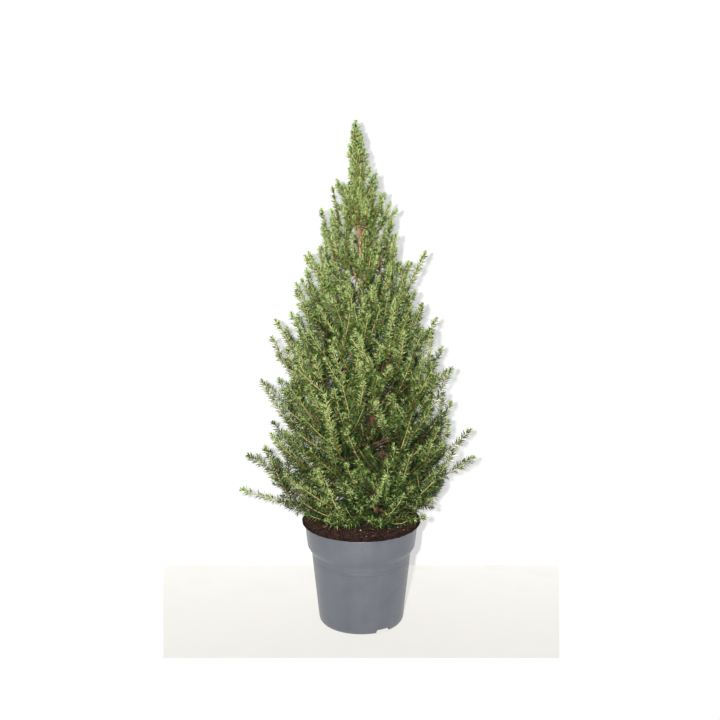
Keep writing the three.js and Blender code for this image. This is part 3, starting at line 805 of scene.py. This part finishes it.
# Pulls a disc along a path, sized to it at every step.
def limbFrom(path, radii, sides):
    dropSelection()
    start = unit(path[1] - path[0])
    turn = (0, math.acos(max(-1, min(1, start[2]))), math.atan2(start[1], start[0]))
    size = {"vertices": sides, "radius": radii[0], "fill_type": "NGON"}
    bpy.ops.mesh.primitive_circle_add(**size, location=tuple(path[0]), rotation=turn)
    piece = bpy.context.object
    applyPlace(piece)
    setMode("EDIT")
    bpy.ops.mesh.select_all(action="SELECT")
    for i in range(1, len(path)):
        growth = radii[i] / radii[i - 1]
        bpy.ops.mesh.extrude_region_move(TRANSFORM_OT_translate={"value": tuple(path[i] - path[i - 1])})
        bpy.ops.transform.resize(value=(growth, growth, growth), center_override=tuple(path[i]))
    bpy.ops.mesh.select_all(action="SELECT")
    bpy.ops.mesh.normals_make_consistent(inside=False)
    setMode("OBJECT")
    return piece


def makeLimbs(masses):
    heights = blend(trunkFoot, trunkTip, np.linspace(0, 1, trunk["rings"]) ** trunk["ringShape"])
    limbs = [limbFrom(trunkCentre(heights), trunkRadius(heights), trunk["sides"])]
    for mass in masses:
        distances = np.linspace(0, mass["reach"] * limb["share"], limb["rings"])
        path = [flowPoint(mass["height"], mass["middle"], distance) for distance in distances]
        radii = np.linspace(limb["rootRadius"], limb["tipRadius"], limb["rings"]) * mass["slimming"]
        limbs.append(limbFrom(path, radii, limb["sides"]))
    dropSelection()
    for piece in limbs:
        piece.select_set(True)
    bpy.context.view_layer.objects.active = limbs[0]
    bpy.ops.object.join()
    wood = bpy.context.object
    finer = wood.modifiers.new("finer", "SUBSURF")
    finer.subdivision_type = "SIMPLE"
    finer.levels = finer.render_levels = 1
    roughen(wood, "barkScales", "VORONOI", trunk["scaleSize"], -trunk["scaleHeight"])
    applyAll(wood)
    bpy.ops.object.shade_smooth_by_angle(angle=math.radians(limb["barkAngle"]))
    boughNodes = [name for name in nodeNames if name.startswith("bough_")]
    settle("trunk_and_boughs", oldBark(), "bark", "trunk", *boughNodes)


# Lengths along a shoot in metres, angles in degrees, and the rest as shares.
shoot = {
    "seed": 11, "length": 0.130, "lengthRange": (0.75, 1.15), "shrink": 0.48, "innerLength": 0.8,
    "strayLength": 1.2, "longest": 0.9, "deepest": 0.17, "proudest": 0.25, "rarity": 2.4,
    "innerDepth": (0.2, 0.7), "lift": (0.0, 0.9), "strayLift": 0.15, "sway": 0.24, "sweep": 0.30,
    "points": 12, "barePull": 0.36, "leafyPull": 0.33, "kneeDrop": 0.006, "leafyShare": 1.12,
    "leafyFrom": 0.003, "paleShare": 0.62, "twigStep": 0.010,
    "rootRadius": 0.0015, "leafyRadius": 0.00085, "tipRadius": 0.0004, "clearSoil": 0.014,
    "frontRise": 0.34, "frontFrom": 0.05, "density": 1.2, "innerDensity": 0.8,
    "slimming": 0.30, "slimFrom": 0.4, "slimOver": 0.4,
    "spiralStep": 0.618, "spiralStart": 0.31, "jitter": 0.08, "jointSpread": 0.7, "jointNoise": 0.3,
    "jointDraw": 0.7, "depthDraw": 0.5, "aimFrom": 0.9,
    "strayRoom": (0.02, 0.001), "strayJoint": 0.9, "strayAim": 0.5,
}
sideShoot = {
    "every": (0.040, 0.022), "spacing": (0.7, 1.3), "first": (-0.2, 0.6), "clearTip": 0.03, "foot": 0.004,
    "length": (0.026, 0.062), "shortest": 0.014, "longest": 0.8, "shorten": 0.8, "angle": (34, 60),
    "around": 0.6, "arriving": (0.6, 0.35, 0.2), "step": 0.005, "pull": 0.35, "points": 6,
    "radius": 0.00038, "proudest": 0.006, "leafyFrom": 0.002, "shade": 0.45,
    "density": 0.9, "needles": 0.92, "tuft": 0.3,
    "plainShare": 0.7, "plainFrom": 0.4, "plainOver": 0.3,
}
needle = {
    "length": 0.0136, "lengthRange": (0.72, 1.08), "tipLength": 0.0068, "radius": 0.00058,
    "waist": 0.35, "waistDrop": 1.5, "perMetre": 1400, "spiral": 2.39996, "spiralNoise": 0.35,
    "angle": 60, "angleNoise": 8, "tufted": 0.010, "tuftAngle": 32, "tuftDensity": 2.2, "step": 0.004,
    "tipZone": 0.008, "middleZone": 0.6, "lift": 0.10, "scatter": 0.18, "underside": -0.35, "mixed": 0.18,
    "shaded": (0.29, 0.16), "shadedFrom": 0.3, "shadedOver": 0.4, "sunlit": 0.12, "most": 49000,
}
leader = {
    "count": 50, "below": 0.06, "clear": 0.022, "lean": (0.50, 0.30), "lengths": (0.052, 0.013),
    "lengthRange": (0.6, 1.4), "density": 2.8, "needles": 0.9, "tipNeedle": 0.003, "points": 30,
    "turnNoise": 0.3, "tipNoise": 0.08, "inset": 0.6, "outward": 0.9, "rise": 1.4, "shorten": 0.85,
    "tries": 8, "proudest": 0.008, "shortest": 0.016, "thickness": 1.4,
    "shootDensity": 1.7, "shootNeedles": 0.76,
}
greens = {
    "bright": (0.268, 0.350, 0.136, 1),
    "fresh": (0.088, 0.144, 0.034, 1),
    "warm": (0.041, 0.077, 0.015, 1),
    "cool": (0.014, 0.037, 0.010, 1),
    # The darkest green is painted shade, for shaded needles and the feet of the darkest sprays.
    "deepShade": (0.006, 0.015, 0.002, 1),
    "olive": (0.136, 0.150, 0.036, 1),
}
# Tip, middle and foot greens of a spray, each for draws above its number.
sprays = [
    (0.95, ("bright", "bright", "fresh")),
    (0.55, ("bright", "fresh", "fresh")),
    (0.25, ("bright", "fresh", "warm")),
    (-0.1, ("fresh", "warm", "cool")),
    (-0.35, ("warm", "cool", "deepShade")),
    (-math.inf, ("cool", "cool", "deepShade")),
]
youngSpray = ("bright", "fresh", "olive")
sprayTone = {
    "from": 0.2, "over": 0.6, "spread": 1.3, "shade": 0.8, "shift": 0.27, "paleFrom": 0.8, "youngBelow": 1.2,
}


# The lowest that a shoot hangs: just over the soil, and higher in front of it.
def lowestAt(point):
    return soilTop + shoot["clearSoil"] + shoot["frontRise"] * max(0, -point[1] - shoot["frontFrom"])


# The share of shoots at a height that have no side shoots.
def plainShareAt(height):
    rise = (height - sideShoot["plainFrom"]) / sideShoot["plainOver"]
    return sideShoot["plainShare"] * min(1, max(0, rise))


def lengthsAlong(path):
    return np.concatenate([[0], np.cumsum(np.linalg.norm(np.diff(path, axis=0), axis=1))])


def pointsAt(path, along, spots):
    return np.stack([np.interp(spots, along, path[:, k]) for k in range(3)], axis=-1)


# A curve that leaves one point in one direction and arrives at another in another.
def curve(start, leaving, end, arriving, pull, count):
    t = np.linspace(0, 1, count)[:, None]
    span = np.linalg.norm(end - start)
    first = start + leaving * span * pull
    second = end - arriving * span * pull
    return (1 - t) ** 3 * start + 3 * t * (1 - t) ** 2 * first + 3 * t**2 * (1 - t) * second + t**3 * end


# Grows shoots, and gathers their twigs and needles by finish until they are joined.
class Growth:
    def __init__(self):
        self.rng = np.random.default_rng(shoot["seed"])
        self.needles = {name: [] for name in greens}
        self.twigs = {"pale": [], "tan": [], "brown": []}

    # Needles in a spiral round a path, from a place along it to its tip, where they close to a tuft.
    def dress(self, path, start, palette, density=1.0, size=1.0, tuft=1.0):
        rng = self.rng
        along = lengthsAlong(path)
        total = along[-1]
        tuftStart = total - needle["tufted"]
        body = rng.uniform(start, total, max(0, int((total - start) * needle["perMetre"] * density)))
        added = needle["tufted"] * needle["perMetre"] * (needle["tuftDensity"] - 1) * tuft
        spots = np.sort(np.concatenate([body, rng.uniform(tuftStart, total, int(added))]))
        count = len(spots)
        base = pointsAt(path, along, spots)
        ahead = pointsAt(path, along, np.minimum(spots + needle["step"], total))
        tangent = unit(ahead - pointsAt(path, along, np.maximum(spots - needle["step"], 0)))
        inTuft = np.clip((spots - tuftStart) / needle["tufted"], 0, 1)
        turn = np.arange(count) * needle["spiral"] + rng.normal(0, needle["spiralNoise"], count)
        first, second = sideAxes(tangent)
        outward = first * np.cos(turn)[:, None] + second * np.sin(turn)[:, None]
        noise = rng.normal(0, needle["angleNoise"], count)
        lean = np.radians(blend(needle["angle"], needle["tuftAngle"], inTuft) + noise)
        direction = tangent * np.cos(lean)[:, None] + outward * np.sin(lean)[:, None] + up * needle["lift"]
        direction = unit(direction + rng.normal(0, needle["scatter"] / 2, (count, 3)))
        length = blend(needle["length"], needle["tipLength"], inTuft)
        length = length * rng.uniform(*needle["lengthRange"], count) * size
        rows = np.concatenate([base, direction, length[:, None]], axis=1)
        fromTip = (total - spots) / max(total - start, 1e-6)
        isInMiddle = fromTip < needle["middleZone"]
        zone = np.where(total - spots < needle["tipZone"], 0, np.where(isInMiddle, 1, 2))
        # Painted shade: needles that face downwards take the next darker green; a random few move one green
        # darker or lighter.
        zone += (outward[:, 2] < needle["underside"]) | (rng.random(count) < needle["mixed"])
        zone = np.clip(zone - (rng.random(count) < needle["mixed"]), 0, 2)
        draw = rng.random(count)
        rise = (base[:, 2] - needle["shadedFrom"]) / needle["shadedOver"]
        isShaded = draw < blend(*needle["shaded"], np.clip(rise, 0, 1))
        zone = np.where(isShaded, 3, np.where(draw > 1 - needle["sunlit"], 4, zone))
        for k, name in enumerate((*palette, "deepShade", palette[0])):  # tip, middle, foot, shaded, sunlit
            self.needles[name].append(rows[zone == k])

    # Light and yellow high in the tree, blue and dark low down; inner and side shoots get darker greens as
    # painted shade.
    def palette(self, height, depth):
        high = (height - sprayTone["from"]) / sprayTone["over"]
        shade = sprayTone["shade"] * depth
        draw = sprayTone["spread"] * self.rng.random() + high - shade - sprayTone["shift"]
        if high > sprayTone["paleFrom"] and draw < sprayTone["youngBelow"]:
            return youngSpray
        return next(names for level, names in sprays if draw > level)

    # Side shoots stand to either hand in turn, shorter towards the tip, and turn the way that it grows.
    def sideShoots(self, path, start, depth, size):
        rng = self.rng
        along = lengthsAlong(path)
        total = along[-1]
        every = sideShoot["every"][1 if depth > 0.5 else 0] / size
        spot = start + rng.uniform(*sideShoot["first"]) * every
        hand = 1 if rng.random() < 0.5 else -1
        if rng.random() < plainShareAt(path[-1][2]):
            return
        while spot < total - sideShoot["clearTip"]:
            base = pointsAt(path, along, max(spot, sideShoot["foot"]))
            tangent = unit(pointsAt(path, along, min(spot + sideShoot["step"], total)) - base)
            level, above = sideAxes(tangent)
            around = rng.normal(0, sideShoot["around"])
            across = level * hand * math.cos(around) + above * math.sin(around)
            lean = math.radians(rng.uniform(*sideShoot["angle"]))
            leaving = tangent * math.cos(lean) + across * math.sin(lean)
            outward, onward, upward = sideShoot["arriving"]
            arriving = unit(leaving * outward + tangent * onward + up * upward)
            length = min(rng.uniform(*sideShoot["length"]) * size, (total - spot) * sideShoot["longest"])
            while length > sideShoot["shortest"]:
                end = base + unit(leaving + arriving) * length
                if outsideBy(end) < sideShoot["proudest"] and end[2] > lowestAt(end):
                    twig = curve(base, leaving, end, arriving, sideShoot["pull"], sideShoot["points"])
                    self.addSideShoot(twig, depth)
                    break
                length *= sideShoot["shorten"]
            hand = -hand
            spot += every * rng.uniform(*sideShoot["spacing"])

    def addSideShoot(self, path, depth):
        self.twigs["tan"].append((path, sideShoot["radius"], shoot["tipRadius"]))
        palette = self.palette(path[-1][2], depth + sideShoot["shade"])
        look = (sideShoot["density"], sideShoot["needles"], sideShoot["tuft"])
        self.dress(path, sideShoot["leafyFrom"], palette, *look)

    # Bare old wood bends from the joint to the knee, and the leafy part runs on nearly straight to the tip.
    def addShoot(self, joint, leaving, tip, arriving, length, isInner, size):
        length = min(length, np.linalg.norm(tip - joint) * shoot["longest"])
        rising = unit(arriving - up * shoot["sweep"])
        knee = tip - unit(arriving + rising) * length
        knee[2] = max(knee[2], lowestAt(knee) - shoot["kneeDrop"])
        rising = unit(unit(tip - knee) * 2 - arriving)
        bare = curve(joint, leaving, knee, rising, shoot["barePull"], shoot["points"])
        leafy = curve(knee, rising, tip, arriving, shoot["leafyPull"], shoot["points"])
        path = np.concatenate([bare, leafy[1:]])
        total = lengthsAlong(path)[-1]
        leafStart = max(shoot["leafyFrom"], total - length * shoot["leafyShare"])
        self.addTwigs(path, leafStart, total - length * shoot["paleShare"], isInner, size)
        density = shoot["innerDensity" if isInner else "density"]
        slimmer = 1 - shoot["slimming"] * max(0, tip[2] - shoot["slimFrom"]) / shoot["slimOver"]
        depth = 1 if isInner else 0
        self.dress(path, leafStart, self.palette(tip[2], depth), density / slimmer**2, slimmer)
        self.sideShoots(path, leafStart, depth, size)

    # A shoot's wood is brown where it is bare, tan where the needles start and pale towards its tip.
    def addTwigs(self, path, leafStart, paleStart, isInner, size):
        along = lengthsAlong(path)
        total = along[-1]
        places = [0, leafStart, total]
        widths = [shoot["rootRadius"] * size, shoot["leafyRadius"], shoot["tipRadius"]]
        youngest = "tan" if isInner else "pale"
        parts = (("brown", 0, leafStart), ("tan", leafStart, paleStart), (youngest, paleStart, total))
        for kind, low, high in parts:
            if high - low > shoot["leafyFrom"]:
                spots = np.linspace(low, high, max(3, int((high - low) / shoot["twigStep"])))
                ends = np.interp([low, high], places, widths)
                self.twigs[kind].append((pointsAt(path, along, spots), *ends))

    # An outer shoot reaches the crown's outline, and an inner one, deeper in, fills the mass behind.
    def growInMass(self, mass, sideways, level, isInner):
        rng = self.rng
        size = 1 - shoot["shrink"] * rankOf(mass["tier"])
        angle = mass["middle"] + sideways * mass["half"]
        rootHeight = blend(mass["below"], mass["above"], level)
        depth = rng.uniform(*shoot["innerDepth"])
        if not isInner:
            proud = shoot["proudest"] * rng.random() ** shoot["rarity"]
            depth = mass["row"]["inset"] + shoot["deepest"] - proud
        distance = reachOf(rootHeight, angle) * (1 - depth)
        tip = flowPoint(rootHeight, angle, distance)
        tip[2] = max(tip[2], lowestAt(tip))
        sway = rng.normal(0, shoot["sway"], 3) * (1, 1, 0.5)
        lift = up * rng.uniform(*shoot["lift"])
        arriving = unit(flowDirection(rootHeight, angle, distance * shoot["aimFrom"]) + lift + sway)
        length = shoot["length"] * size * rng.uniform(*shoot["lengthRange"])
        if isInner:
            length *= shoot["innerLength"]
        spread = min(1, abs(sideways) * shoot["jointSpread"] + shoot["jointNoise"] * rng.random())
        along = mass["reach"] * limb["share"] * (1 - shoot["jointDraw"] * spread)
        drawn = 1 - shoot["depthDraw"] * max(0, depth)
        joint = flowPoint(mass["height"], mass["middle"], along * drawn)
        leaving = unit(unit(tip - joint) + flowDirection(mass["height"], mass["middle"], along))
        self.addShoot(joint, leaving, tip, arriving, length, isInner, size)

    # Shoots stand in a spiral over a mass's width and height, so that no two are close.
    def growMass(self, mass):
        rng = self.rng
        for kind in ("outer", "inner"):
            count = round(mass["row"][kind] / mass["row"]["masses"])
            for i in range(count):
                turn = (i * shoot["spiralStep"] + shoot["spiralStart"]) % 1
                sideways = turn * 2 - 1 + rng.normal(0, shoot["jitter"])
                level = (i + 0.5) / count + rng.normal(0, shoot["jitter"])
                self.growInMass(mass, max(-1, min(1, sideways)), max(0, min(1, level)), kind == "inner")

    # A stray belongs to the mass whose room its tip is in.
    def growStray(self, masses, tip):
        tip = np.array(tip)
        distance, angle = aroundTrunk(tip)
        rootHeight = rootHeightOf(tip)
        below, above = shoot["strayRoom"]
        near = [mass for mass in masses if mass["below"] - below <= rootHeight < mass["above"] + above]
        mass = min(near, key=lambda mass: abs(math.remainder(angle - mass["middle"], 2 * math.pi)))
        size = 1 - shoot["shrink"] * rankOf(mass["tier"])
        joint = flowPoint(mass["height"], mass["middle"], mass["reach"] * limb["share"] * shoot["strayJoint"])
        onward = flowDirection(mass["height"], mass["middle"], mass["reach"] * shoot["strayAim"])
        leaving = unit(unit(tip - joint) + onward)
        onward = flowDirection(rootHeight, angle, distance * shoot["aimFrom"])
        arriving = unit(onward + up * shoot["strayLift"])
        length = shoot["length"] * size * shoot["strayLength"]
        self.addShoot(joint, leaving, tip, arriving, length, False, size)

    # Needles round the trunk's tip, and short blunt shoots that stand close to it.
    def growLeader(self):
        rng = self.rng
        tip = crownTop - leader["tipNeedle"]
        path = trunkCentre(np.linspace(leaderFoot - leader["below"], tip, leader["points"]))
        self.dress(path, 0, youngSpray, leader["density"], leader["needles"])
        for i in range(leader["count"]):
            share = (i + 0.5) / leader["count"]
            height = blend(leaderFoot - leader["below"], crownTop - leader["clear"], share)
            angle = i * tierTurn + rng.normal(0, leader["turnNoise"])
            outward = np.array([math.cos(angle), math.sin(angle), 0])
            root = trunkCentre(height) + outward * trunkRadius(height) * leader["inset"]
            leaving = unit(outward * leader["outward"] + up)
            lean = outward * blend(*leader["lean"], share)
            arriving = unit(lean + up + rng.normal(0, leader["tipNoise"], 3))
            length = blend(*leader["lengths"], share) * rng.uniform(*leader["lengthRange"])
            for _ in range(leader["tries"]):
                tip = root + unit(leaving + arriving * leader["rise"]) * length
                if outsideBy(tip) < leader["proudest"] or length < leader["shortest"]:
                    break
                length *= leader["shorten"]
            twig = curve(root, leaving, tip, arriving, sideShoot["pull"], sideShoot["points"])
            self.twigs["pale"].append((twig, sideShoot["radius"] * leader["thickness"], shoot["tipRadius"]))
            palette = self.palette(height, 0)
            self.dress(twig, sideShoot["leafyFrom"], palette, leader["shootDensity"], leader["shootNeedles"])

    # Each needle is four points and four triangles: a foot, the two sides of its waist, and a tip.
    def joinNeedles(self):
        foliageNodes = [name for name in nodeNames if name.startswith("foliage_")]
        shape = np.array([[0, 2, 1], [1, 2, 3], [0, 1, 3], [0, 3, 2]])
        for name, colour in greens.items():
            rows = np.concatenate(self.needles[name])
            material = needleGreen(f"{name}Needles", colour)
            for part, first in enumerate(range(0, len(rows), needle["most"])):
                chunk = rows[first : first + needle["most"]]
                foot, direction, length = chunk[:, :3], chunk[:, 3:6], chunk[:, 6:7]
                one, two = sideAxes(direction)
                drop = two * needle["radius"] * needle["waistDrop"]
                waist = foot + direction * length * needle["waist"] + drop
                sides = [waist + one * needle["radius"], waist - one * needle["radius"]]
                points = np.stack([foot, *sides, foot + direction * length], axis=1).reshape(-1, 3)
                faces = (shape[None] + 4 * np.arange(len(chunk))[:, None, None]).reshape(-1, 3)
                meshFrom(f"needles_{name}_{part + 1}", points, faces)
                settle(f"needles_{name}_{part + 1}", material, "needles", *foliageNodes)
            print("needles", name, len(rows))

    # Twigs are closed tapered tubes of four sides.
    def joinTwigs(self, kind):
        sides = 4
        turns = np.arange(sides) * 2 * math.pi / sides
        allPoints, allFaces, start = [], [], 0
        for path, rootRadius, tipRadius in self.twigs[kind]:
            count = len(path)
            first, second = sideAxes(unit(np.gradient(path, axis=0)))
            cosines, sines = np.cos(turns)[None, :, None], np.sin(turns)[None, :, None]
            ring = first[:, None] * cosines + second[:, None] * sines
            radii = np.linspace(rootRadius, tipRadius, count)
            allPoints.append((path[:, None] + ring * radii[:, None, None]).reshape(-1, 3))
            i, k = np.meshgrid(np.arange(count - 1), np.arange(sides), indexing="ij")
            a, b = i * sides + k, i * sides + (k + 1) % sides
            walls = [np.stack([a, b, b + sides], -1), np.stack([a, b + sides, a + sides], -1)]
            last = (count - 1) * sides
            caps = np.array([[0, 2, 1], [0, 3, 2], [last, last + 1, last + 2], [last, last + 2, last + 3]])
            allFaces.append(np.concatenate([wall.reshape(-1, 3) for wall in walls] + [caps]) + start)
            start += count * sides
        meshFrom(f"twigs_{kind}", np.concatenate(allPoints), np.concatenate(allFaces))
        settle(f"twigs_{kind}", grained(f"{kind}Twigs"), "bark")
        print("twigs", kind, len(self.twigs[kind]))


def makeFoliage(masses):
    growth = Growth()
    for mass in masses:
        growth.growMass(mass)
    for tip in strayTips:
        growth.growStray(masses, tip)
    growth.growLeader()
    growth.joinNeedles()
    for kind in growth.twigs:
        growth.joinTwigs(kind)


def stagePlane(name, place, turn, size, material):
    dropSelection()
    bpy.ops.mesh.primitive_plane_add(size=size, location=place, rotation=(turn, 0, 0))
    plane = bpy.context.object
    plane.name = name
    applyPlace(plane)
    plane.data.materials.append(material)
    return plane


# A pale floor that ends at a white wall, and white paper beyond both.
def makeBackdrop():
    wall = studio["wallPlace"]
    size = studio["wallSize"]
    place = (0, wall, size / 2 + studio["wallFoot"])
    white = glowing("wallWhite", studio["wallPaint"], studio["wallGlow"])
    stagePlane("studio_wall", place, math.pi / 2, size, white)
    size = studio["paperSize"]
    white = glowing("paperWhite", studio["paperPaint"], studio["paperGlow"])
    stagePlane("studio_paper", (0, wall - size / 2, studio["paperPlace"]), 0, size, white)
    floor = stagePlane("studio_floor", (0, (wall + studio["floorFront"]) / 2, 0), 0, 1, floorPaint())
    for corner in floor.data.vertices:
        isBack = corner.co.y > (wall + studio["floorFront"]) / 2
        half = studio["floorBackHalf"] if isBack else studio["floorFrontHalf"]
        corner.co.y = wall if isBack else studio["floorFront"]
        corner.co.x = half if corner.co.x > 0 else -half


makeStudio()
print("studio ready")
makePot()
print("pot ready")
makeSoil()
makeSoilLitter()
print("soil ready")
masses = allMasses()
makeLimbs(masses)
print("limbs ready")
makeFoliage(masses)
makeBackdrop()
